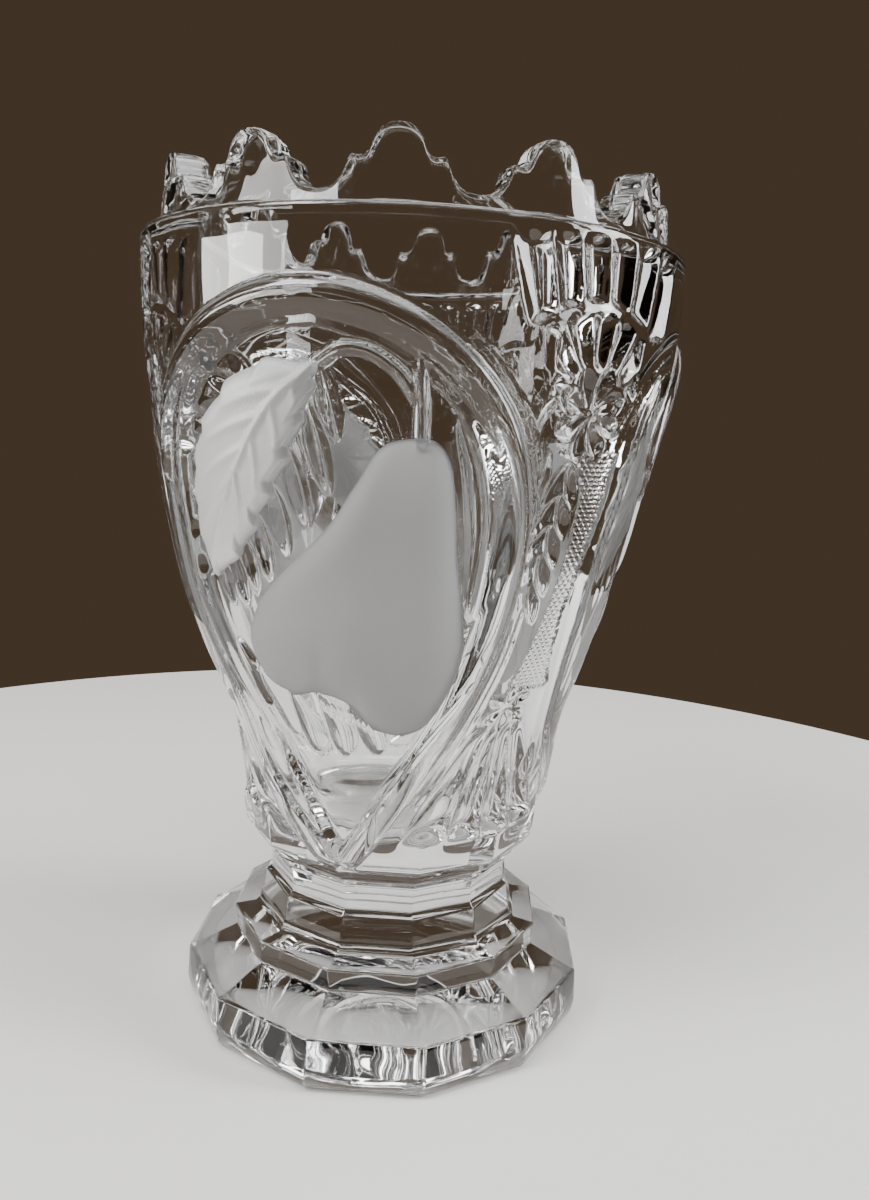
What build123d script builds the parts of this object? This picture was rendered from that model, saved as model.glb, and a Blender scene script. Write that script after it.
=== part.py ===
from build123d import *
import math
import os

# Footed crystal vase: a clear bowl with a toothed crown and three arched medallions, on a
# twelve-sided stepped foot. Each medallion holds a satin-finished pear and leaf in relief.
# Millimetres, +Z up. The origin is the centre of the base, and the first medallion faces -Y.
# Places on the bowl are (angle, height): degrees from the medallion's middle, and Z.

# ---- overall sizes ----
HEIGHT = 180.0
SIDES = 12
PANELS = 3
TOOTH_ANGLE = 360 / SIDES
JOIN_Z = 38.0

# ---- bowl ----
UNDERSIDE_RADIUS = 29.0
UNDERSIDE_ARC_MIDDLE = (32.5, 39.5)
BOWL_PROFILE = [(33.9, 43), (34.2, 52), (37.2, 70), (43.0, 85), (48.0, 100),
                (52.2, 120), (55.0, 140), (56.2, 156), (56.3, 167)]
LEDGE_Z = 167.0
CROWN_BASE_RADIUS = 52.8
CROWN_TOP_RADIUS = 52.1
CAVITY_PROFILE = [(45.0, HEIGHT), (45.0, 160), (44.0, 140), (41.6, 120), (37.6, 100),
                  (31.4, 80), (26.2, 62), (23.0, 54)]
CAVITY_CORNER = (20.6, 48.6)
CAVITY_FLOOR_Z = 46.0
CAVITY_FLOOR_RADIUS = 15.0
GROUND_DEPTH = 2.6

# ---- crown teeth, as (half width, drop below the tip) from the tip down to the gap ----
LOBE_BULGE = (2.4, 0.7)
LOBE_SIDE = (4.0, 3.0)
STEP_INNER = (5.9, 5.1)
STEP_OUTER = (7.5, 5.5)
SCALLOP_MIDDLE = (10.0, 8.9)
GAP_DROP = 10.3

# ---- arched medallion, its frame band, and the reliefs inside it ----
ARCH_OUTER = [(0, 155.3), (24, 149.5), (39, 134), (43.8, 112), (40.5, 86), (29, 66), (12, 50)]
ARCH_OUTER_TIP = (0, 43)
ARCH_INNER = [(0, 149.6), (20, 143.8), (35.5, 130), (40.8, 111), (38.2, 88), (27, 69), (11, 54)]
ARCH_INNER_TIP = (0, 48)
BAND_HEIGHT = 0.9
PEAR = [(21, 130), (14, 128), (7, 119), (-5, 108), (-17, 98), (-24.5, 88), (-19, 80.5),
        (-4, 80), (9, 75.5), (21, 73), (30, 79), (34.5, 91), (31.5, 104), (29, 120), (26, 128.5)]
PEAR_HEIGHT = 3.0
LEAF_BASE = (1, 142)
LEAF_BEND = (-13, 128)
LEAF_TIP = (-32, 103)
LEAF_HALF_WIDTH = 9.5
LEAF_TEETH = 6
LEAF_TOOTH_DEPTH = 1.6
LEAF_HEIGHT = 2.2

# ---- mitre cuts in the columns: a star, a fan of flutes above it and a fan of rays below ----
COLUMN_ANGLE = 55.5
CUT_WIDTH = 4.6
CUT_DEPTH = 2.5
CUT_FLOOR_SCALE = 0.12
STAR_Z = 135.5
STAR_LENGTH = 18.0
FAN_FLUTES = 5
FAN_SPREAD = 96
FAN_ENDS = (11.0, 26.5)
RAY_CENTRE_Z = 80.0
RAYS = 5
RAY_SPREAD = 56
RAY_ENDS = (4.0, 31.0)

# ---- distances from the axis that the walls of a radial cut run between ----
PRISM_START = 20.0
PRISM_END = 75.0

# ---- foot: (corner radius, Z) of each level, from the base up ----
FOOT_BASE_RADIUS = 44.8
DISH_RADIUS = 38.0
DISH_DEPTH = 3.0
FOOT_LEVELS = [(46.2, 4.0), (45.8, 12.0), (35.2, 16.4), (35.6, 21.2), (31.4, 22.0),
               (29.6, 24.2), (28.3, 29.6), (27.4, 30.4), (27.7, 35.5), (28.6, JOIN_Z)]

os.makedirs("parts", exist_ok=True)


def bowl_radius(z):
    """Radius of the turned bowl at height z, along straight lines between the profile's points."""
    for (low_r, low_z), (high_r, high_z) in zip(BOWL_PROFILE, BOWL_PROFILE[1:]):
        if z <= high_z:
            return low_r + (high_r - low_r) * (z - low_z) / (high_z - low_z)
    return BOWL_PROFILE[-1][0]


def turned_body(offset):
    """Solid of revolution inside the bowl's outer surface, moved outwards by offset."""
    side = [(r + offset, z) for r, z in BOWL_PROFILE]
    corner = (UNDERSIDE_ARC_MIDDLE[0] + offset, UNDERSIDE_ARC_MIDDLE[1])
    underside = (UNDERSIDE_RADIUS + offset, JOIN_Z)
    with BuildPart() as body:
        with BuildSketch(Plane.XZ):
            with BuildLine():
                Line((0, JOIN_Z), underside)
                ThreePointArc(underside, corner, side[0])
                Spline(*side, tangents=[(0, 1), (0, 1)])
                Line(side[-1], (0, LEDGE_Z))
                Line((0, LEDGE_Z), (0, JOIN_Z))
            make_face()
        revolve(axis=Axis.Z)
    return body.part


def crown_ring():
    """Ring above the ledge that the teeth are cut from."""
    with BuildPart() as ring:
        with BuildSketch(Plane.XZ):
            Polygon((0, LEDGE_Z - 1), (CROWN_BASE_RADIUS, LEDGE_Z - 1), (CROWN_BASE_RADIUS, LEDGE_Z),
                    (CROWN_TOP_RADIUS, HEIGHT), (0, HEIGHT), align=None)
        revolve(axis=Axis.Z)
    return ring.part


def cavity():
    """Smooth tapered inside of the bowl."""
    with BuildPart() as inside:
        with BuildSketch(Plane.XZ):
            with BuildLine():
                Line((0, HEIGHT), CAVITY_PROFILE[0])
                Spline(*CAVITY_PROFILE, tangents=[(0, -1), (-0.5, -1)])
                ThreePointArc(CAVITY_PROFILE[-1], CAVITY_CORNER, (CAVITY_FLOOR_RADIUS, CAVITY_FLOOR_Z))
                Line((CAVITY_FLOOR_RADIUS, CAVITY_FLOOR_Z), (0, CAVITY_FLOOR_Z))
                Line((0, CAVITY_FLOOR_Z), (0, HEIGHT))
            make_face()
        revolve(axis=Axis.Z)
    return inside.part


def gap_cutter():
    """The space between two crown teeth, centred on -Y and cut straight out through the wall."""
    reach = CROWN_BASE_RADIUS * math.sin(math.radians(TOOTH_ANGLE / 2))
    top = HEIGHT + 1

    def place(half_width, drop, side):
        return (side * (reach - half_width), HEIGHT - drop)

    def lobe_top(side):
        return ThreePointArc(place(*LOBE_SIDE, side), place(*LOBE_BULGE, side), place(0, 0, side))

    def scallop(side):
        return ThreePointArc((0, HEIGHT - GAP_DROP), place(*SCALLOP_MIDDLE, side),
                             place(*STEP_OUTER, side))

    with BuildPart() as gap:
        with BuildSketch(Plane.XZ):
            with BuildLine():
                for side in (-1, 1):
                    scallop(side)
                    Line(place(*STEP_OUTER, side), place(*STEP_INNER, side))
                    Line(place(*STEP_INNER, side), place(*LOBE_SIDE, side))
                    lobe_top(side)
                    Line(place(0, 0, side), (side * reach, top))
                Line((-reach, top), (reach, top))
            make_face()
        extrude(amount=CROWN_BASE_RADIUS + 10)
    return gap.part


def radial_prism(outline, closed_curve=True, tip=None):
    """Solid whose walls run out from the Z axis through an outline of (angle, height) points."""
    def section(distance):
        points = [(distance * math.tan(math.radians(a)), z) for a, z in outline]
        with BuildSketch(Plane.XZ.offset(distance)) as sketch:
            with BuildLine():
                if tip:
                    Spline(*[(-x, z) for x, z in reversed(points[1:])], *points)
                    foot = (distance * math.tan(math.radians(tip[0])), tip[1])
                    Line(points[-1], foot)
                    Line(foot, (-points[-1][0], points[-1][1]))
                elif closed_curve:
                    Spline(*points, periodic=True)
                else:
                    Polyline(*points, close=True)
            make_face()
        return sketch.sketch.faces()[0]

    return loft([section(PRISM_START), section(PRISM_END)], ruled=True)


def leaf_outline():
    """Toothed edge of the leaf, worked out from its curved midrib."""
    def midrib(t):
        parts = ((1 - t) ** 2, 2 * t * (1 - t), t ** 2)
        points = (LEAF_BASE, LEAF_BEND, LEAF_TIP)
        return (sum(w * p[0] for w, p in zip(parts, points)),
                sum(w * p[1] for w, p in zip(parts, points)))

    edge = []
    steps = 2 * LEAF_TEETH
    for side in (1, -1):
        row = []
        for i in range(1, steps):
            t = i / steps
            here, ahead = midrib(t), midrib(t + 0.01)
            run = math.hypot(ahead[0] - here[0], ahead[1] - here[1])
            across = ((ahead[1] - here[1]) / run, -(ahead[0] - here[0]) / run)
            width = LEAF_HALF_WIDTH * math.sin(math.pi * t ** 0.8) ** 0.7
            width -= LEAF_TOOTH_DEPTH * (i % 2)
            row.append((here[0] + side * across[0] * width, here[1] + side * across[1] * width))
        edge.append(row)
    return [LEAF_BASE] + edge[0] + [LEAF_TIP] + edge[1][::-1]


def mitre_cut(centre_z, direction, near, far):
    """Long pointed wedge that leaves a sharp-bottomed cut in a column.

    It runs from near to far from the column's middle at centre_z, along direction."""
    middle, half = (near + far) / 2, (far - near) / 2
    z = centre_z + middle * math.sin(math.radians(direction))
    radius = bowl_radius(z)
    angle = COLUMN_ANGLE + math.degrees(middle * math.cos(math.radians(direction)) / radius)
    lean = math.atan2(bowl_radius(z + 2) - bowl_radius(z - 2), 4)
    lying = Plane(origin=(0, -radius, z), x_dir=(1, 0, 0), z_dir=(0, -math.cos(lean), math.sin(lean)))
    sections = []
    for depth, scale in ((CUT_DEPTH, CUT_FLOOR_SCALE), (-CUT_DEPTH, 2 - CUT_FLOOR_SCALE)):
        long, wide = half * scale, CUT_WIDTH / 2 * scale
        with BuildSketch(Plane.XY.offset(-depth)) as section:
            Polygon((-long, 0), (0, -wide), (long, 0), (0, wide), align=None)
        sections.append(section.sketch.faces()[0])
    wedge = loft(sections, ruled=True)
    return Rot(0, 0, angle) * (lying * Rot(0, 0, direction) * wedge)


def column_cuts():
    """Star, fan of flutes above it and fan of rays below, for one column."""
    cuts = [mitre_cut(STAR_Z, 45 * i, -STAR_LENGTH / 2, STAR_LENGTH / 2) for i in range(4)]
    for i in range(FAN_FLUTES):
        direction = 90 + FAN_SPREAD * (i / (FAN_FLUTES - 1) - 0.5)
        cuts.append(mitre_cut(STAR_Z, direction, *FAN_ENDS))
    for i in range(RAYS):
        direction = -90 + RAY_SPREAD * (i / (RAYS - 1) - 0.5)
        cuts.append(mitre_cut(RAY_CENTRE_Z, direction, *RAY_ENDS))
    return cuts


def around(solid, count):
    """Copies of a solid, evenly spaced round the Z axis."""
    return [Rot(0, 0, 360 / count * i) * solid for i in range(count)]


def satin_relief(outline, height, **kind):
    """Raised slab that stands on the medallion's ground, face to face with it."""
    slab = radial_prism(outline, **kind) & turned_body(height - GROUND_DEPTH)
    return slab - ground


def polygon_at(radius, z):
    """Twelve-sided section of the foot, with a corner on each tooth gap's line."""
    with BuildSketch(Plane.XY.offset(z)) as sketch:
        RegularPolygon(radius, SIDES, rotation=90)
    return sketch.sketch.faces()[0]


def dish():
    """Shallow round hollow under the foot, so that it stands on its rim."""
    ball_radius = (DISH_RADIUS ** 2 + DISH_DEPTH ** 2) / (2 * DISH_DEPTH)
    return Pos(0, 0, DISH_DEPTH - ball_radius) * Sphere(ball_radius)


full = turned_body(0)
ground = turned_body(-GROUND_DEPTH)

# the bowl: turned body and crown, hollowed, with sunk medallions and raised frame bands
recess = radial_prism(ARCH_INNER, tip=ARCH_INNER_TIP) - ground
band = radial_prism(ARCH_OUTER, tip=ARCH_OUTER_TIP) - radial_prism(ARCH_INNER, tip=ARCH_INNER_TIP)
band = (band & turned_body(BAND_HEIGHT)) - ground
bowl = full + crown_ring()
bowl -= around(recess, PANELS)
bowl += around(band, PANELS)
bowl -= cavity()
bowl -= around(gap_cutter(), SIDES)
for cut in column_cuts():
    bowl -= around(cut, PANELS)

# the foot: a stack of twelve-sided tapers with a dished underside
levels = [(FOOT_BASE_RADIUS, 0.0)] + FOOT_LEVELS
foot = loft([polygon_at(*levels[0]), polygon_at(*levels[1])], ruled=True)
for low, high in zip(levels[1:], levels[2:]):
    foot += loft([polygon_at(*low), polygon_at(*high)], ruled=True)
foot -= dish()

nodes = {"bowl": bowl, "foot": foot}
pears = around(satin_relief(PEAR, PEAR_HEIGHT), PANELS)
leaves = around(satin_relief(leaf_outline(), LEAF_HEIGHT, closed_curve=False), PANELS)
for i in range(PANELS):
    nodes[f"pear_relief_{i + 1}"] = pears[i]
    nodes[f"leaf_relief_{i + 1}"] = leaves[i]

for name, shape in nodes.items():
    export_step(shape, f"parts/{name}.step")
    print(name, "solids", len(shape.solids()), "volume", round(shape.volume))
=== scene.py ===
import math

import bpy
import numpy as np
from mathutils import Matrix, Vector


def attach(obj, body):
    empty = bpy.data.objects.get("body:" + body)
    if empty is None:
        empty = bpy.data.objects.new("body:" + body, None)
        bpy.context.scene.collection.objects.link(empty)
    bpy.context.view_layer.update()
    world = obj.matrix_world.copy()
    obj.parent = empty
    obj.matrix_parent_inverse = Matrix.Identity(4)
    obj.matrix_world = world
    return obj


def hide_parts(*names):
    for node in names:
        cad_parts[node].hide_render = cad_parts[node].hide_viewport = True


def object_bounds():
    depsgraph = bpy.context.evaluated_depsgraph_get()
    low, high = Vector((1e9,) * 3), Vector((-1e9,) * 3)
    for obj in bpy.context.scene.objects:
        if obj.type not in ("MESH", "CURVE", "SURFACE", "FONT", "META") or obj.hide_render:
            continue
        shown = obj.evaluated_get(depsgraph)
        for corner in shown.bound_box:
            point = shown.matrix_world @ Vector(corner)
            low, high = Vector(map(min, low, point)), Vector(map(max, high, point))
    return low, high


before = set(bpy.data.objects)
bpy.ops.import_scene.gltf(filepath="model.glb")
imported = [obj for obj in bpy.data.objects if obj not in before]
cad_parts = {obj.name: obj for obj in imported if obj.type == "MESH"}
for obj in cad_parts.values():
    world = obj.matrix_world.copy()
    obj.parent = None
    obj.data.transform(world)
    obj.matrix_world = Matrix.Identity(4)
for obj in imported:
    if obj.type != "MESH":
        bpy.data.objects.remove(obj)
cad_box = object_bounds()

# Footed crystal vase. Shapes are worked out in millimetres and written to the meshes in metres.
# A place on the bowl is (angle, z): degrees from the middle of a medallion, and height.
MM = 0.001
HEIGHT = (cad_box[1][2] - cad_box[0][2]) / MM
PANELS = 3
TEETH = 12
PANEL_ANGLE = 360 / PANELS
TOOTH_PITCH = 360 / TEETH

# ---- turned body, as (radius, z) ----
DISH_START = 4.0
DISH_RADIUS = 38.0
DISH_DEPTH = 3.0
FOOT_LEVELS = [(43.6, 0.0), (44.8, 0.35), (45.7, 1.6), (46.2, 4.2), (46.2, 4.6), (45.9, 11.5),
               (45.6, 11.9), (45.1, 12.1), (35.6, 16.1), (35.3, 16.3), (35.3, 16.7), (35.7, 20.8),
               (35.6, 21.2), (35.2, 21.4), (31.0, 21.9), (29.9, 22.8), (29.4, 24.4), (28.7, 29.2),
               (28.4, 29.8), (27.7, 30.2), (27.4, 31.2), (27.5, 34.0), (28.3, 36.6), (28.7, 37.2),
               (29.4, 37.4), (29.6, 38.2), (30.4, 38.8), (31.6, 40.0), (32.7, 41.4)]
BOWL_START_Z = 42.4
BOWL_PROFILE = [(33.4, 42.5), (34.0, 47), (34.4, 56), (37.2, 70), (43.0, 85), (48.0, 100),
                (52.2, 120), (55.0, 140), (56.2, 156), (56.3, 167)]
CAVITY_PROFILE = [(15.0, 46.0), (20.6, 48.6), (23.0, 54), (26.2, 62), (31.4, 80), (37.6, 100),
                  (41.6, 120), (44.0, 140), (45.0, 160), (45.2, 180)]
CAVITY_FLOOR = [(19.4, 47.7), (17.4, 46.7), (15.0, 46.1), (11, 45.8), (6, 45.6)]

# ---- crown: a rounded ledge, then twelve scalloped teeth ----
LEDGE_Z = 167.0
LEDGE_ROUNDING = [(0.0, 0.0), (0.12, 0.5), (0.5, 0.85), (1.1, 1.0), (2.4, 1.05)]  # (inset, rise)
CROWN_BASE_RADIUS = 52.8
CROWN_TOP_RADIUS = 52.1
EDGE_ROUND = 1.0
EDGE_FULLNESS = 0.45
CROWN_FOOT_Z = 160.0
TOOTH_PROFILE = [(0, 0), (1.5, 0.2), (2.9, 0.95), (3.9, 2.2), (4.5, 3.7), (5.2, 4.85), (6.4, 5.2),
                 (7.7, 5.0), (8.2, 5.6), (8.8, 7.2), (9.9, 8.9), (11.6, 10.0), (13.8, 10.35)]

# ---- medallion: frame band, sunk ground, and what stands or is cut in it ----
GROUND_DEPTH = 2.6
ARCH_INNER = [(1, 149.6), (14, 146.6), (25, 140), (34.5, 130.5), (39.6, 118), (40.4, 106), (38.6, 92),
              (34, 80), (26.5, 68.5), (14, 56), (1.5, 45.5), (-12, 56), (-24, 70), (-33, 82), (-38, 96),
              (-38.5, 110), (-36.8, 124), (-31, 135.5), (-21, 144), (-10, 148.4)]
BAND_LINE = [(-41.5, 120), (-36.5, 133.5), (-25.5, 144.5), (-12, 150.8), (1.5, 152.6), (14.5, 150),
             (26.5, 143.5), (36.5, 133), (41.6, 119.5), (42.4, 106), (40.6, 91.5), (35.6, 78), (27, 66),
             (14, 53), (2, 42.4)]
BAND_HALF_WIDTH = [(0, 1.6), (0.12, 2.8), (0.3, 3.3), (0.5, 2.6), (0.75, 2.3), (1, 2.7)]
BAND_SUNK, BAND_RISE = 1.4, 3.1
GROOVE_GAPS = (0.6, 1.7)
GROOVE_DEPTH = 0.5
LEG_LINE = [(-42, 143), (-45, 132), (-46, 120), (-48, 104), (-46.5, 90), (-40, 76), (-31, 64), (-18, 53),
            (1.5, 41.5)]
LEG_HALF_WIDTH = [(0, 0.6), (0.05, 3.0), (0.25, 5.4), (0.5, 4.6), (0.75, 3.2), (1, 2.7)]
PEAR_STEM = [(20.6, 142), (21.2, 136), (21.6, 129)]
STALK = [(1.5, 141.5), (6.5, 144.2), (12, 143.6), (17, 140.5), (20.4, 136.5)]
HOLLOW = [(28.5, 134.5), (34, 124), (36.6, 112), (35.4, 97)]
LEAF_CUTS_RIGHT = [((1.8, 141), (5.4, 128.4)), ((-0.8, 134.7), (3.6, 119.2)),
                   ((-5.4, 127.2), (-1.6, 113.2)), ((-9.6, 120.4), (-7, 107.4)),
                   ((-14.8, 115.2), (-12.4, 102.4)), ((-19, 110), (-17, 99.6)),
                   ((-23.5, 107), (-21.8, 96.6)), ((-29, 105), (-27.2, 96))]
LEAF_CUTS_LEFT = [((-12, 137.6), (-18.5, 143.4)), ((-12.5, 136.6), (-26, 139.4)),
                  ((-20, 134), (-31.5, 131.4)), ((-26.5, 129.6), (-35, 125)), ((-29, 124.4), (-36, 116.6)),
                  ((-30.6, 117), (-37, 108.6)), ((-32, 109.6), (-37, 101))]
SEPALS = [((-31, 89), (-25, 75), 6.0), ((-23, 84), (-15, 70), 7.5), ((-12, 82), (-7, 67), 8.0),
          ((-2, 82), (3, 67), 7.5), ((6, 80), (14, 68), 6.5)]
SEPAL_BEND = 1.5
SEPAL_RISE = 1.7
FRINGE_START = (-3, 80)
FRINGE_END = (11, 76.5)
FRINGE_CUTS = 9
FRINGE_LEAN = (1.2, -3.4)
HOLLOW_SIZE = (8.6, 2.5)  # (width, depth) of a cut, as in every SIZE below
LEAF_RIGHT_SIZE = (4.4, 1.7)
LEAF_LEFT_SIZE = (4.2, 1.6)
FRINGE_SIZE = (1.1, 0.8)

# ---- column: places are flat (x, z), with x in millimetres from its middle line ----
COLUMN_ANGLE = 55.5
COLUMN_LEFT = [(43, 4), (53, 16), (66, 29.5), (78, 38.5), (91, 43.5), (104, 45.4)]  # border, as (z, angle)
COLUMN_RIGHT = [(43, 112), (53, 99), (66, 86), (78, 74), (91, 67.5), (104, 67.5)]
COLUMN_FLARE = 13.0
STAR = (0.0, 135.5)
STAR_RAY = 8.6
STAR_SIZE = (5.0, 1.7)
ARC_HALF_WIDTH = 21.0
ARC_RISE = 17.8
FAN_BOTTOM = [-15.5, -10.5, -5.2, 0.6, 6.2, 12.6, 19.0]
FAN_TOP = [-21, -13.5, -7.4, -0.6, 7.0, 15.5, 23.5]
FAN_TOP_Z = 165.0
FAN_DEPTH = 1.5
INNER_CELLS = 7
INNER_FAN = (14.0, 166.0)
INNER_DEPTH = 1.3
HATCH_ZONE = [(-7.5, 129), (9.5, 129), (8.2, 120), (5.2, 108), (3.4, 98), (4.5, 88), (7.0, 82),
              (-4.5, 82), (-2.5, 92), (-1.2, 101), (0.4, 112), (0.6, 121), (-2.0, 127)]
HATCH_CELLS = 4
HATCH_DEPTH = 0.7
EAR_TOP = (-3.6, 127)
EAR_BOTTOM = (-6.8, 105)
EAR_LEVELS = 5
EAR_CUTS = [((-4.6, -9.5), (3.8, 1.5)), ((2.6, -8.5), (3.2, 1.4))]  # (lean, size)
SIDE_FACET = [(-8.6, 129), (-9.6, 115), (-8.8, 98)]
SIDE_FACET_SIZE = (4.6, 1.4)
LOWER_STAR = (-2.8, 78.5)
LOWER_STAR_RAY = 5.6
LOWER_STAR_SIZE = (2.8, 1.2)
RAY_TOP_Z = 75.0
RAY_BOTTOM_Z = 48.5
RAY_TOP = [-7.4, -4.6, -2.4, 0.0, 2.6]
RAY_BOTTOM = [-20.5, -10.5, -1.8, 7.0, 17.5]
RAY_DEPTH = 2.8
SIDE_LENS = [(10.0, 68), (11.2, 57)]
SIDE_LENS_SIZE = (4.4, 1.6)

# ---- satin pear and leaf ----
EMBEDDED = 0.35
BACK_DEPTH = 0.6
BACK_SHARE = 0.985
PEAR_OUTLINE = [(21, 130.2), (14, 128.2), (8.5, 121), (2, 113), (-8, 105.5), (-17.5, 98), (-24, 89.5),
                (-22, 82.5), (-13, 79.4), (-3, 80.5), (6, 78.2), (11.5, 74), (21, 72.4), (29.5, 75.4),
                (34.4, 83), (35.6, 91), (33.2, 100), (30.8, 109), (29.4, 118), (27.8, 125.5), (25, 129.2)]
PEAR_CENTRE = (11, 95)
PEAR_RISE = 3.2
PEAR_CREASES = [[(18, 104), (21, 92), (22.5, 80), (21, 71)], [(4, 98), (0, 90), (0.5, 82), (3, 76)]]
CREASE_SIZE = (2.2, 0.55)
LEAF_MIDRIB = [(1.5, 141.6), (-8, 134), (-17, 123), (-25, 112), (-32.5, 102)]
MIDRIB_SIZE = (0.8, 0.7)
LEAF_RIGHT = [(1.5, 142), (1.2, 138), (-1.2, 132), (-4.6, 125.5), (-9.4, 118.6), (-14.8, 112.4),
              (-22, 106), (-33, 101)]
LEAF_LEFT = [(-33, 101), (-36.2, 108), (-35.6, 116.5), (-33, 124.5), (-27.6, 132), (-19.5, 138.6),
             (-9.5, 142.4), (1.5, 142)]
LEAF_CENTRE = (-17, 122)
LEAF_RISE = 2.1
LEAF_TEETH = 7
LEAF_TOOTH = 1.3
VEINS = [((-1.5, 140), (-13, 137.5)), ((-5, 137), (-21, 133)), ((-9.5, 132.5), (-27.5, 126.5)),
         ((-14, 127), (-31.5, 118.5)), ((-18.5, 121), (-33, 110)), ((-3, 138.5), (-2.6, 130)),
         ((-7.5, 134.5), (-7.2, 123)), ((-12.5, 129), (-13, 116)), ((-17.5, 122.5), (-19, 109.5))]
VEIN_BEND = (0.6, 0.8)
VEIN_SIZE = (0.75, 0.42)

# ---- mesh of the vessel: columns of points round the axis, and levels up the bowl ----
COLUMNS = 264
CELL = PANEL_ANGLE / COLUMNS
PANEL_ANGLES = (np.arange(COLUMNS) + 0.5) * CELL - PANEL_ANGLE / 2
AROUND = np.concatenate([PANEL_ANGLES + PANEL_ANGLE * panel for panel in range(PANELS)])
BOWL_LEVELS = np.concatenate([np.arange(BOWL_START_Z, 80, 0.5), np.arange(80, 132, 0.42),
                              np.arange(132, 165.8, 0.5)])
CAVITY_LEVELS = np.concatenate([np.linspace(157, 62, 40), np.linspace(60, 49, 10)])

# ---- lights, in metres: name, place, size, power, colour ----
LIGHTS = [("window_left", (-0.76, -0.52, 0.24), (0.5, 0.15), 4, (1.0, 0.99, 0.97)),
          ("soft_left", (-0.45, -0.64, 0.86), (0.5, 0.4), 11, (1, 1, 1)),
          ("window_right", (0.80, 0.12, 0.36), (0.3, 0.5), 10, (0.97, 0.98, 1.0)),
          ("fill_top", (0.15, -0.20, 1.0), (0.8, 0.5), 8, (1, 1, 1))]
LIGHT_AIM = (0, 0, 0.09)
ROOM_COLOR = (0.060, 0.041, 0.025, 1)
LIGHT_BOUNCES = 36

# ---- camera: distance from the axis and height in millimetres, then its angles in degrees ----
CAMERA_DISTANCE = 218.7
CAMERA_HEIGHT = 132.3
CAMERA_AZIMUTH = 18.83
CAMERA_YAW = 2.033
CAMERA_PITCH = 10.116
CAMERA_ROLL = 2.893
FOCAL_LENGTH = 29.37
SENSOR_WIDTH = 36


# ---- lines, tables and cuts ----
def smoothstep(low, high, x):
    t = np.clip((x - low) / (high - low), 0, 1)
    return t * t * (3 - 2 * t)


def at(table, x):
    """Value at x in a table of (x, value) points."""
    places, values = zip(*table)
    return np.interp(x, places, values)


def between(start, end, t):
    """Point that lies the share t of the way from start to end."""
    return (start[0] + t * (end[0] - start[0]), start[1] + t * (end[1] - start[1]))


def leant(start, lean):
    """End of a line that starts at a point and leans by an offset."""
    return (start[0] + lean[0], start[1] + lean[1])


def smooth_line(points, per_span=12):
    """Catmull-Rom line through points, as an array."""
    p = np.array(points, float)
    p = np.vstack([2 * p[0] - p[1], p, 2 * p[-1] - p[-2]])
    t = np.linspace(0, 1, per_span, endpoint=False)[:, None]
    rows = []
    for i in range(1, len(p) - 2):
        a, b, c, d = p[i - 1:i + 3]
        rows.append(0.5 * (2 * b + (c - a) * t + (2 * a - 5 * b + 4 * c - d) * t ** 2
                           + (3 * b - a - 3 * c + d) * t ** 3))
    return np.vstack(rows + [p[-2:-1]])


PROFILE_LINE = smooth_line(BOWL_PROFILE)
CAVITY_LINE = smooth_line(CAVITY_PROFILE)


def bowl_radius(z):
    return np.interp(z, PROFILE_LINE[:, 1], PROFILE_LINE[:, 0])


def cavity_radius(z):
    return np.interp(z, CAVITY_LINE[:, 1], CAVITY_LINE[:, 0])


def arc(angle, z):
    """Millimetres round the bowl's surface from angle 0."""
    return np.radians(angle) * bowl_radius(z)


def flat(points):
    """(angle, z) points laid out flat in millimetres."""
    p = np.array(points, float)
    return np.column_stack([arc(p[:, 0], p[:, 1]), p[:, 1]])


def flat_loop(points, per_span):
    """Closed smooth line through (angle, z) points, laid out flat."""
    return smooth_line(flat(points + points[:1]), per_span)[:-1]


def path_distance(x, z, line):
    """Distance to a line of points, and how far along it the nearest point is, from 0 to 1."""
    seg = np.diff(line, axis=0)
    lengths = np.hypot(*seg.T)
    starts = np.concatenate([[0], np.cumsum(lengths)])
    best = np.full(x.shape, 1e9)
    along = np.zeros(x.shape)
    for (ax, az), (dx, dz), length, start in zip(line[:-1], seg, lengths, starts):
        t = ((x - ax) * dx + (z - az) * dz) / length ** 2
        t = np.clip(t, 0, 1)
        d = np.hypot(x - ax - t * dx, z - az - t * dz)
        nearer = d < best
        best = np.where(nearer, d, best)
        along = np.where(nearer, (start + t * length) / starts[-1], along)
    return best, along


def signed_inside(x, z, outline):
    """Distance to a closed outline, positive inside it."""
    closed = np.vstack([outline, outline[:1]])
    distance, _ = path_distance(x, z, closed)
    inside = np.zeros(x.shape, bool)
    for (ax, az), (bx, bz) in zip(closed[:-1], closed[1:]):
        if az == bz:
            continue
        crosses = ((az > z) != (bz > z)) & (x < (bx - ax) * (z - az) / (bz - az) + ax)
        inside ^= crosses
    return np.where(inside, distance, -distance)


def lens(x, z, line, size, sharp=1.0, blunt=0.7):
    """Depth of a pointed cut along a line: V-bottomed where sharp is 1, rounded where it's 0."""
    width, depth = size
    d, u = path_distance(x, z, np.array(line, float))
    body = np.clip(4 * u * (1 - u), 0, 1) ** blunt
    half = np.maximum(width / 2 * body, 1e-6)
    r = np.clip(d / half, 0, 1)
    return depth * body * (sharp * (1 - r) + (1 - sharp) * (1 - r * r)) * (r < 1)


def crest(distance, size):
    """Height of a soft ridge, at a distance from its line."""
    reach, rise = size
    return rise * np.exp(-(distance / reach) ** 2)


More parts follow.
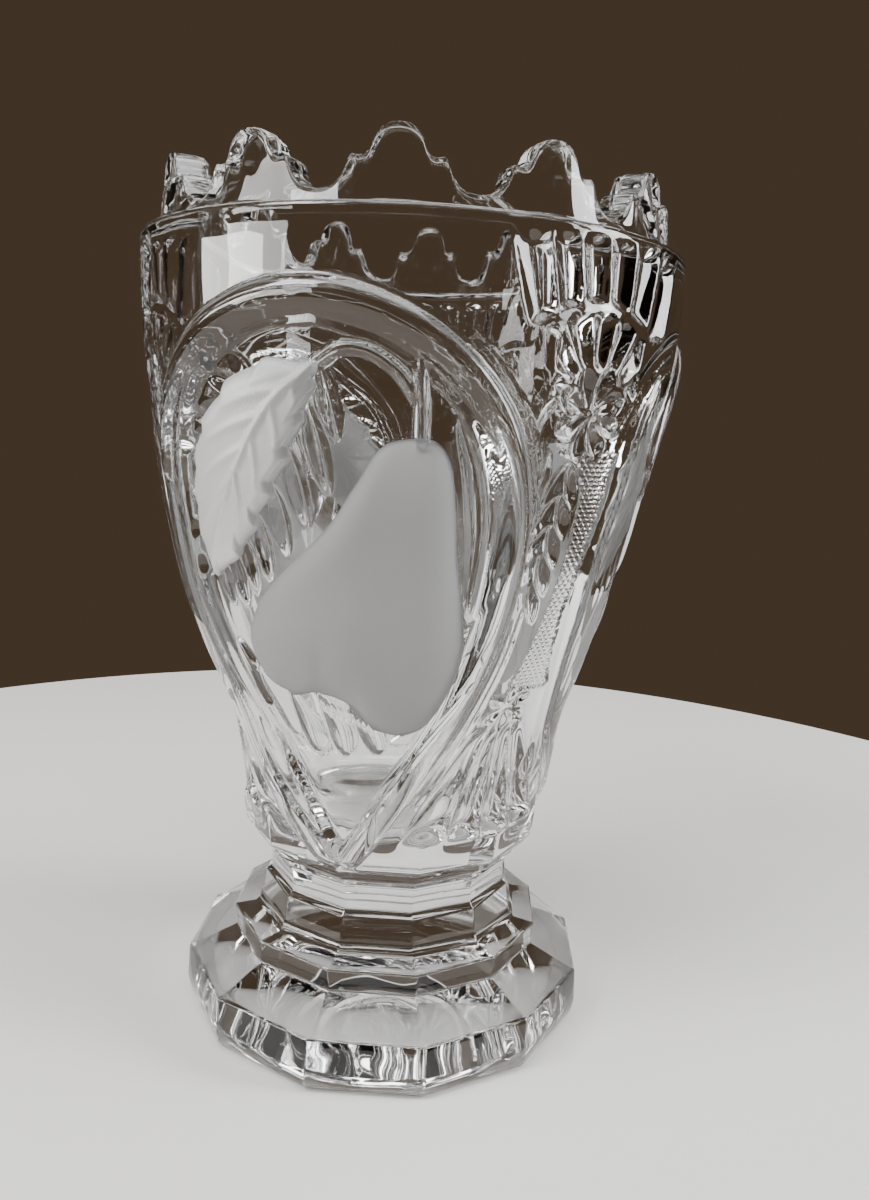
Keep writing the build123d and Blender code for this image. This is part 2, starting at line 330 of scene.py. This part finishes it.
def scoops(x, run, starts, ends, depth, sharp, tail):
    """Depth of side by side flutes that meet in ridges; run goes from 0 at their starts to 1."""
    cut = np.zeros(x.shape)
    ends_round = smoothstep(0, 0.16, run) * smoothstep(1, 1 - tail, run)
    for left0, right0, left1, right1 in zip(starts, starts[1:], ends, ends[1:]):
        left = left0 + (left1 - left0) * run
        t = (x - left) / (right0 + (right1 - right0) * run - left)
        across = sharp * (1 - np.abs(2 * t - 1)) + (1 - sharp) * 4 * t * (1 - t)
        cut = np.maximum(cut, np.where((t > 0) & (t < 1), depth * across, 0))
    return cut * ends_round


def star(x, z, centre, rays, start, end, size, blunt):
    """Depth of pointed cuts that run out from a centre, between two distances from it."""
    cut = np.zeros(x.shape)
    for i in range(rays):
        way = math.radians(360 / rays * (i + 0.5))
        near, tip = ((centre[0] + reach * math.cos(way), centre[1] + reach * math.sin(way))
                     for reach in (start, end))
        cut = np.maximum(cut, lens(x, z, [near, tip], size, blunt=blunt))
    return cut


# ---- medallion ----
def frame_band(x, z, inside, height):
    """The surface with the arch's round band added, and two fine grooves beside it at the right."""
    d, u = path_distance(x, z, smooth_line(flat(BAND_LINE), 8))
    half = at(BAND_HALF_WIDTH, u)
    bead = np.clip(1 - (d / half) ** 2, 0, 1)
    height = np.where(d < half, np.maximum(height, -BAND_SUNK + BAND_RISE * np.sqrt(bead)), height)
    beside = (inside < -0.5) & (u > 0.42) & (u < 0.9)
    for gap in GROOVE_GAPS:
        groove = np.clip(1 - np.abs(d - half - gap) / 0.5, 0, 1)
        height = height - GROOVE_DEPTH * groove * beside
    return height


def frame_leg(x, z, height):
    """The surface with the leg at the arch's left added: flat above, and a bead near the bottom."""
    d, u = path_distance(x, z, smooth_line(flat(LEG_LINE), 8))
    half = at(LEG_HALF_WIDTH, u)
    bead = np.sqrt(np.clip(1 - (d / half) ** 2, 0, 1))
    beaded = smoothstep(0.5, 0.75, u)
    facet = (0.9 - 0.4 * bead ** 2) * (1 - beaded) + (-0.6 + 2.3 * bead) * beaded
    return np.where((d < half) & (u < 1), facet * smoothstep(0, 0.7, half - d), height)


def stem(x, z, line, rise, half_width):
    """Height of a round stem that lies on the sunk ground."""
    d, _ = path_distance(x, z, smooth_line(flat(line)))
    return -GROUND_DEPTH + rise * np.sqrt(np.clip(1 - (d / half_width) ** 2, 0, 1)) - 0.01


def sepal(x, z, inside, start, end, width):
    """Height of one bent lobe of the calyx, which lies on the sunk ground."""
    middle = between(start, end, 0.5)
    line = smooth_line(flat([start, (middle[0] + SEPAL_BEND, middle[1]), end]), 6)
    return -GROUND_DEPTH + lens(x, z, line, (width, SEPAL_RISE), sharp=0.3, blunt=0.5) * (inside > 0)


def ground_cuts(x, z):
    """Depth of the cuts in the sunk ground: right of the pear, round the leaf, and the calyx's fringe."""
    cut = lens(x, z, smooth_line(flat(HOLLOW), 8), HOLLOW_SIZE, sharp=0.1, blunt=0.6)
    for line in LEAF_CUTS_RIGHT:
        cut = np.maximum(cut, lens(x, z, flat(line), LEAF_RIGHT_SIZE, sharp=0.7))
    for line in LEAF_CUTS_LEFT:
        cut = np.maximum(cut, lens(x, z, flat(line), LEAF_LEFT_SIZE, sharp=0.7))
    for i in range(FRINGE_CUTS):
        top = between(FRINGE_START, FRINGE_END, i / (FRINGE_CUTS - 1))
        cut = np.maximum(cut, lens(x, z, flat([top, leant(top, FRINGE_LEAN)]), FRINGE_SIZE))
    return cut


def medallion(angle, z):
    """Height of the surface over the turned bowl, round one medallion."""
    x = arc(angle, z)
    inside = signed_inside(x, z, flat_loop(ARCH_INNER, 8))
    height = -GROUND_DEPTH * smoothstep(-0.2, 2.2, inside)
    height = frame_band(x, z, inside, height)
    height = frame_leg(x, z, height)
    height = np.maximum(height, stem(x, z, PEAR_STEM, 2.4, 1.3))
    height = np.maximum(height, stem(x, z, STALK, 1.3, 1.1))
    for start, end, width in SEPALS:
        height = np.maximum(height, sepal(x, z, inside, start, end, width))
    return height - ground_cuts(x, z)


# ---- column ----
def upper_fans(x, z):
    """Depth of the two fans over the star: pointed cuts inside the arc and long flutes above it."""
    turn = np.degrees(np.arctan2(z - STAR[1], x))
    ring_at = np.hypot(x / ARC_HALF_WIDTH, (z - STAR[1]) / ARC_RISE)
    low, high = INNER_FAN
    t = np.mod((turn - low) / (high - low) * INNER_CELLS, 1)
    within = (turn > low) & (turn < high) & (ring_at < 1)
    ends_round = smoothstep(0.40, 0.58, ring_at) * smoothstep(0.97, 0.88, ring_at)
    inner = INNER_DEPTH * (1 - np.abs(2 * t - 1)) * ends_round
    arc_z = STAR[1] + ARC_RISE * np.sqrt(np.clip(1 - (x / ARC_HALF_WIDTH) ** 2, 0.05, 1))
    run = np.clip((z - arc_z - 0.5) / (FAN_TOP_Z - arc_z), 0, 1)
    return np.maximum(inner * within, scoops(x, run, FAN_BOTTOM, FAN_TOP, FAN_DEPTH, 0.5, 0.2))


def wheat_ear(x, z):
    """Depth of the facet at the column's left and of the ear's paired cuts in it."""
    cut = lens(x, z, smooth_line(SIDE_FACET), SIDE_FACET_SIZE, sharp=0.4)
    for i in range(EAR_LEVELS):
        top = between(EAR_TOP, EAR_BOTTOM, i / (EAR_LEVELS - 1))
        for lean, size in EAR_CUTS:
            cut = np.maximum(cut, lens(x, z, [top, leant(top, lean)], size, sharp=0.8))
    return cut


def lower_rays(x, z):
    """Depth of the long rays below the lower star, and of the single cut beside them."""
    run = np.clip((RAY_TOP_Z - z) / (RAY_TOP_Z - RAY_BOTTOM_Z), 0, 1)
    rays = scoops(x, run, RAY_TOP, RAY_BOTTOM, RAY_DEPTH, 0.0, 0.12) * np.clip(0.25 + run, 0, 1)
    return np.maximum(rays, lens(x, z, SIDE_LENS, SIDE_LENS_SIZE, sharp=0.0))


def column(angle, z):
    """Depth cut below the turned bowl, in one column."""
    x = arc(angle - COLUMN_ANGLE, z)
    cut = star(x, z, STAR, 8, 0.3, STAR_RAY, STAR_SIZE, 0.6)
    cut = np.maximum(cut, star(x, z, LOWER_STAR, 6, 0.0, LOWER_STAR_RAY, LOWER_STAR_SIZE, 0.7))
    cut = np.maximum(cut, upper_fans(x, z))
    cut = np.maximum(cut, wheat_ear(x, z))
    return np.maximum(cut, lower_rays(x, z))


def to_crossing(n):
    """Cells from n to the nearest whole step of the hatching."""
    m = np.mod(n, HATCH_CELLS)
    return np.minimum(m, HATCH_CELLS - m)


def hatching(angle, z, i, j):
    """Depth of the crossed fine cuts; i and j count the grid's cells, so the cuts follow it."""
    x = arc(angle - COLUMN_ANGLE, z)
    zone = smoothstep(0.0, 0.5, signed_inside(x, z, np.array(HATCH_ZONE, float)))
    low = np.minimum(to_crossing(i + j), to_crossing(i - j))
    return HATCH_DEPTH * zone * (1 - low / (HATCH_CELLS / 2))


# ---- vessel: rings of points from under the foot, up the outside and down the cavity ----
def twelve_sided(share):
    """Factor round the axis that turns a circle into a twelve-sided outline, by share."""
    inside = np.radians(np.mod(AROUND, TOOTH_PITCH) - TOOTH_PITCH / 2)
    polygon = math.cos(math.radians(TOOTH_PITCH / 2)) / np.cos(inside)
    return 1 + share * (polygon - 1)


def tooth_top():
    """Height of the crown's edge round the axis."""
    from_tip = np.abs(np.mod(AROUND, TOOTH_PITCH) - TOOTH_PITCH / 2)
    across = np.radians(from_tip) * CROWN_TOP_RADIUS
    shape = smooth_line(TOOTH_PROFILE, 6)
    return HEIGHT - np.interp(across, shape[:, 0], shape[:, 1])


def ring(radius, z):
    """Points round the axis; radius and z are one value each or one for each point."""
    a = np.radians(AROUND)
    radius = np.broadcast_to(radius, a.shape)
    z = np.broadcast_to(z, a.shape)
    return np.column_stack([radius * np.sin(a), -radius * np.cos(a), z])


def foot_rings():
    rings = []
    for radius in np.linspace(DISH_START, DISH_RADIUS, 12):
        rings.append(ring(radius, DISH_DEPTH * (1 - (radius / DISH_RADIUS) ** 2)))
    for radius, z in FOOT_LEVELS:
        rings.append(ring(radius * twelve_sided(1.0), z))
    return rings


def panel_surface():
    """Height of the surface over the turned bowl, over one panel of levels and angles."""
    angle, z = np.meshgrid(PANEL_ANGLES, BOWL_LEVELS)
    j, i = np.meshgrid(np.arange(COLUMNS), np.arange(len(BOWL_LEVELS)))
    relief = medallion(np.where(angle > 66, angle - PANEL_ANGLE, angle), z)
    angle = np.where(angle < COLUMN_ANGLE - PANEL_ANGLE / 2, angle + PANEL_ANGLE, angle)
    flare = COLUMN_FLARE * smoothstep(148, 152, z)
    left = at(COLUMN_LEFT, z) - flare
    right = at(COLUMN_RIGHT, z) + flare
    mask = smoothstep(-0.3, 0.5, arc(angle - left, z)) * smoothstep(-0.3, 0.5, arc(right - angle, z))
    depth = column(angle, z)
    fine = hatching(angle, z, i, j)
    return relief - mask * np.maximum(depth, fine * (depth < 0.05))


def bowl_rings():
    rings = []
    for row, z in zip(panel_surface(), BOWL_LEVELS):
        radius = bowl_radius(z) + np.tile(row, PANELS) * smoothstep(BOWL_START_Z, 45, z)
        rings.append(ring(radius * twelve_sided(smoothstep(54, 44, z)), z))
    return rings


def crown_rings():
    rings = []
    ledge_rise = LEDGE_ROUNDING[-1][1]
    for inset, rise in LEDGE_ROUNDING:
        rings.append(ring(bowl_radius(LEDGE_Z) - inset, LEDGE_Z - ledge_rise + rise))
    edge = tooth_top() - EDGE_ROUND
    for t in np.linspace(0.03, 1, 18):
        radius = CROWN_BASE_RADIUS + (CROWN_TOP_RADIUS - CROWN_BASE_RADIUS) * t
        rings.append(ring(radius, LEDGE_Z + (edge - LEDGE_Z) * t))
    middle = (CROWN_TOP_RADIUS + cavity_radius(HEIGHT)) / 2
    half = (CROWN_TOP_RADIUS - cavity_radius(HEIGHT)) / 2
    for t in np.linspace(0, 1, 10):
        bulge = math.sin(math.pi * t) ** EDGE_FULLNESS if 0 < t < 1 else 0
        rings.append(ring(middle + half * math.cos(math.pi * t), edge + EDGE_ROUND * bulge))
    return rings


def cavity_rings():
    rings = []
    edge = tooth_top() - EDGE_ROUND
    for t in np.linspace(0.06, 1, 14):
        z = edge * (1 - t) + CROWN_FOOT_Z * t
        rings.append(ring(cavity_radius(z), z))
    for z in CAVITY_LEVELS:
        rings.append(ring(cavity_radius(z), z))
    for radius, z in CAVITY_FLOOR:
        rings.append(ring(radius, z))
    return rings


def grid_mesh(name, rings, close_start, close_end):
    """Mesh of stacked rings of points, with a point at each end to close it."""
    rows, count = rings.shape[:2]
    points = rings.reshape(-1, 3)
    k = np.arange(rows - 1)[:, None] * count
    c = np.arange(count)[None, :]
    n = (c + 1) % count
    quads = np.stack([k + c, k + n, k + count + n, k + count + c], -1).reshape(-1, 4)
    first, last = len(points), len(points) + 1
    points = np.vstack([points, close_start, close_end])
    c, n = c[0], n[0]
    top = (rows - 1) * count
    caps = [(first, b, a) for a, b in zip(c, n)] + [(last, top + a, top + b) for a, b in zip(c, n)]
    mesh = bpy.data.meshes.new(name)
    mesh.from_pydata((points * MM).tolist(), [], quads.tolist() + caps)
    mesh.polygons.foreach_set("use_smooth", np.ones(len(mesh.polygons), bool))
    mesh.update()
    piece = bpy.data.objects.new(name, mesh)
    bpy.context.scene.collection.objects.link(piece)
    return piece


def vessel():
    """The whole body of clear glass: foot, bowl and crown, hollowed, as one closed mesh."""
    rings = np.array(foot_rings() + bowl_rings() + crown_rings() + cavity_rings())
    return grid_mesh("vessel", rings, (0, 0, DISH_DEPTH), (0, 0, CAVITY_FLOOR[-1][1]))


# ---- satin pieces ----
def toothed(edge):
    """Leaf's edge with teeth that lean towards its end."""
    line = smooth_line(flat(edge), 16)
    run = np.gradient(line, axis=0)
    inwards = np.column_stack([run[:, 1], -run[:, 0]]) / np.hypot(*run.T)[:, None]
    t = np.linspace(0, 1, len(line))
    saw = np.mod(t * LEAF_TEETH, 1)
    depth = LEAF_TOOTH * np.minimum(saw / 0.75, (1 - saw) / 0.25) * np.sin(np.pi * t) ** 0.4
    return line + inwards * depth[:, None]


def leaf_outline():
    return np.vstack([toothed(LEAF_RIGHT)[:-1], toothed(LEAF_LEFT)[:-1]])


def pear_lift(x, z, share):
    """Height of the pear over its sunk edge, at a share of the way from its middle to that edge."""
    fall = np.clip((1 - share) / 0.42, 0, 1)
    lift = (PEAR_RISE + EMBEDDED) * (1 - (1 - fall) ** 2.4) ** 0.62
    for crease in PEAR_CREASES:
        d, u = path_distance(x, z, smooth_line(flat(crease)))
        lift = lift - crest(d, CREASE_SIZE) * np.clip(2 * u, 0, 1) * fall
    return lift


def leaf_lift(x, z, share):
    """Height of the leaf over its sunk edge, with its midrib and veins."""
    fall = np.clip((1 - share) / 0.25, 0, 1)
    rise = LEAF_RISE * (1 - (1 - fall) ** 2) ** 0.6
    d, u = path_distance(x, z, smooth_line(flat(LEAF_MIDRIB)))
    ridge = crest(d, MIDRIB_SIZE) * (1.1 - u)
    for vein in VEINS:
        start, end = flat(vein)
        bend = (start + end) / 2 + np.array(VEIN_BEND)
        d, u = path_distance(x, z, smooth_line([start, bend, end], 6))
        ridge = np.maximum(ridge, crest(d, VEIN_SIZE) * (1.05 - u))
    return rise + ridge * fall


def on_bowl(points, height, turn):
    """Flat points put back round the bowl, at a height over its turned surface."""
    x, z = points.T
    radius = bowl_radius(z) + height
    a = x / bowl_radius(z) + turn
    return np.column_stack([radius * np.sin(a), -radius * np.cos(a), z])


def satin_piece(name, edge, centre, panel, lift_at, rings):
    """Closed raised form inside an outline, standing in the medallion's ground."""
    turn = math.radians(PANEL_ANGLE * panel)
    middle = flat([centre])[0]
    sunk = -GROUND_DEPTH - EMBEDDED
    levels = [on_bowl(middle + (edge - middle) * BACK_SHARE, sunk - BACK_DEPTH, turn)]
    for share in np.linspace(1, 0.02, rings):
        p = middle + (edge - middle) * share
        levels.append(on_bowl(p, sunk + lift_at(p[:, 0], p[:, 1], share), turn))
    levels = np.array(levels)
    back = levels[0].mean(0)
    inwards = (bowl_radius(back[2]) + sunk - BACK_DEPTH) / math.hypot(back[0], back[1])
    return grid_mesh(name, levels, back * [inwards, inwards, 1], levels[-1].mean(0))


# ---- materials ----
def base_material(name):
    material = bpy.data.materials.new(name)
    material.use_nodes = True
    nodes = material.node_tree.nodes
    return material, nodes, material.node_tree.links, nodes["Principled BSDF"]


def noise_node(nodes, scale, detail):
    noise = nodes.new("ShaderNodeTexNoise")
    noise.inputs["Scale"].default_value = scale
    noise.inputs["Detail"].default_value = detail
    return noise


def range_node(nodes, come, go):
    """Node that turns the range come into the range go."""
    node = nodes.new("ShaderNodeMapRange")
    node.inputs["From Min"].default_value, node.inputs["From Max"].default_value = come
    node.inputs["To Min"].default_value, node.inputs["To Max"].default_value = go
    return node


def bump_node(nodes, strength, distance):
    bump = nodes.new("ShaderNodeBump")
    bump.inputs["Strength"].default_value = strength
    bump.inputs["Distance"].default_value = distance
    return bump


def clear_crystal():
    """Fire-polished glass with a faint waviness, and a ground face where it stands."""
    material, nodes, links, shader = base_material("clear_crystal")
    shader.inputs["Base Color"].default_value = (0.985, 0.99, 0.99, 1)
    shader.inputs["Transmission Weight"].default_value = 1.0
    shader.inputs["IOR"].default_value = 1.54
    coords = nodes.new("ShaderNodeTexCoord")
    height = nodes.new("ShaderNodeSeparateXYZ")
    wave = noise_node(nodes, 75, 1.0)
    polished = range_node(nodes, (0.35, 0.75), (0.0, 0.03))
    ground = range_node(nodes, (0.1 * MM, 0.3 * MM), (0.3, 0.0))
    rougher = nodes.new("ShaderNodeMath")
    rougher.operation = "MAXIMUM"
    bump = bump_node(nodes, 1.0, 0.16 * MM)
    links.new(coords.outputs["Object"], wave.inputs["Vector"])
    links.new(coords.outputs["Object"], height.inputs["Vector"])
    links.new(wave.outputs["Fac"], polished.inputs["Value"])
    links.new(height.outputs["Z"], ground.inputs["Value"])
    links.new(polished.outputs["Result"], rougher.inputs[0])
    links.new(ground.outputs["Result"], rougher.inputs[1])
    links.new(rougher.outputs["Value"], shader.inputs["Roughness"])
    links.new(wave.outputs["Fac"], bump.inputs["Height"])
    links.new(bump.outputs["Normal"], shader.inputs["Normal"])
    return material


def satin_crystal():
    """Etched glass: a fine even grain, and a faint cloudiness in its tint."""
    material, nodes, links, shader = base_material("satin_crystal")
    shader.inputs["Transmission Weight"].default_value = 0.7
    shader.inputs["IOR"].default_value = 1.5
    coords = nodes.new("ShaderNodeTexCoord")
    grain = noise_node(nodes, 2600, 3.0)
    cloud = noise_node(nodes, 45, 2.0)
    rough = range_node(nodes, (0.0, 1.0), (0.5, 0.66))
    tint = range_node(nodes, (0.0, 1.0), (0.60, 0.74))
    bump = bump_node(nodes, 0.25, 0.1 * MM)
    links.new(coords.outputs["Object"], grain.inputs["Vector"])
    links.new(coords.outputs["Object"], cloud.inputs["Vector"])
    links.new(grain.outputs["Fac"], rough.inputs["Value"])
    links.new(rough.outputs["Result"], shader.inputs["Roughness"])
    links.new(cloud.outputs["Fac"], tint.inputs["Value"])
    links.new(tint.outputs["Result"], shader.inputs["Base Color"])
    links.new(grain.outputs["Fac"], bump.inputs["Height"])
    links.new(bump.outputs["Normal"], shader.inputs["Normal"])
    return material


def floor_material():
    material, _, _, shader = base_material("pale_floor")
    shader.inputs["Base Color"].default_value = (0.78, 0.77, 0.75, 1)
    shader.inputs["Roughness"].default_value = 0.7
    return material


# ---- the vase ----
clear = clear_crystal()
satin = satin_crystal()
body = vessel()
body.data.materials.append(clear)
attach(body, "root")
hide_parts("bowl", "foot")
for panel in range(PANELS):
    pear = satin_piece(f"pear_{panel + 1}", flat_loop(PEAR_OUTLINE, 12), PEAR_CENTRE, panel, pear_lift, 26)
    leaf = satin_piece(f"leaf_{panel + 1}", leaf_outline(), LEAF_CENTRE, panel, leaf_lift, 40)
    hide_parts(f"pear_relief_{panel + 1}")
    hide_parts(f"leaf_relief_{panel + 1}")
    for piece in (pear, leaf):
        piece.data.materials.append(satin)
        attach(piece, "root")


# ---- stage, light and camera ----
def stage_floor():
    bpy.ops.mesh.primitive_circle_add(vertices=128, radius=0.30, fill_type="NGON", location=(0, 0, -0.0002))
    floor = bpy.context.object
    floor.name = "stage_floor"
    floor.data.materials.append(floor_material())


def area_light(name, place, size, power, color):
    data = bpy.data.lights.new(name, "AREA")
    data.shape = "RECTANGLE"
    data.size, data.size_y = size
    data.energy = power
    data.color = color
    light = bpy.data.objects.new(name, data)
    light.location = place
    aim = Vector(LIGHT_AIM) - Vector(place)
    light.rotation_euler = aim.to_track_quat("-Z", "Y").to_euler()
    bpy.context.scene.collection.objects.link(light)


def room():
    world = bpy.data.worlds.new("studio")
    world.use_nodes = True
    background = world.node_tree.nodes["Background"]
    background.inputs["Color"].default_value = ROOM_COLOR
    background.inputs["Strength"].default_value = 1.0
    bpy.context.scene.world = world
    bpy.context.scene.cycles.max_bounces = LIGHT_BOUNCES
    bpy.context.scene.cycles.transmission_bounces = LIGHT_BOUNCES


def camera():
    azimuth, yaw, pitch, roll = (math.radians(v) for v in (CAMERA_AZIMUTH, CAMERA_YAW, CAMERA_PITCH,
                                                           CAMERA_ROLL))
    forward = Vector((math.sin(yaw) * math.cos(pitch), math.cos(yaw) * math.cos(pitch), -math.sin(pitch)))
    level = Vector((math.cos(yaw), -math.sin(yaw), 0))
    above = level.cross(forward)
    right = level * math.cos(roll) + above * math.sin(roll)
    up = above * math.cos(roll) - level * math.sin(roll)
    turn = Matrix.Rotation(azimuth, 3, "Z")
    axes = Matrix((turn @ right, turn @ up, turn @ -forward)).transposed()
    place = turn @ Vector((0, -CAMERA_DISTANCE * MM, CAMERA_HEIGHT * MM))
    data = bpy.data.cameras.new("camera")
    data.sensor_width = SENSOR_WIDTH
    data.lens = FOCAL_LENGTH
    data.clip_start = 0.01
    eye = bpy.data.objects.new("camera", data)
    eye.matrix_world = Matrix.Translation(place) @ axes.to_4x4()
    bpy.context.scene.collection.objects.link(eye)
    bpy.context.scene.camera = eye


stage_floor()
for light in LIGHTS:
    area_light(*light)
room()
camera()
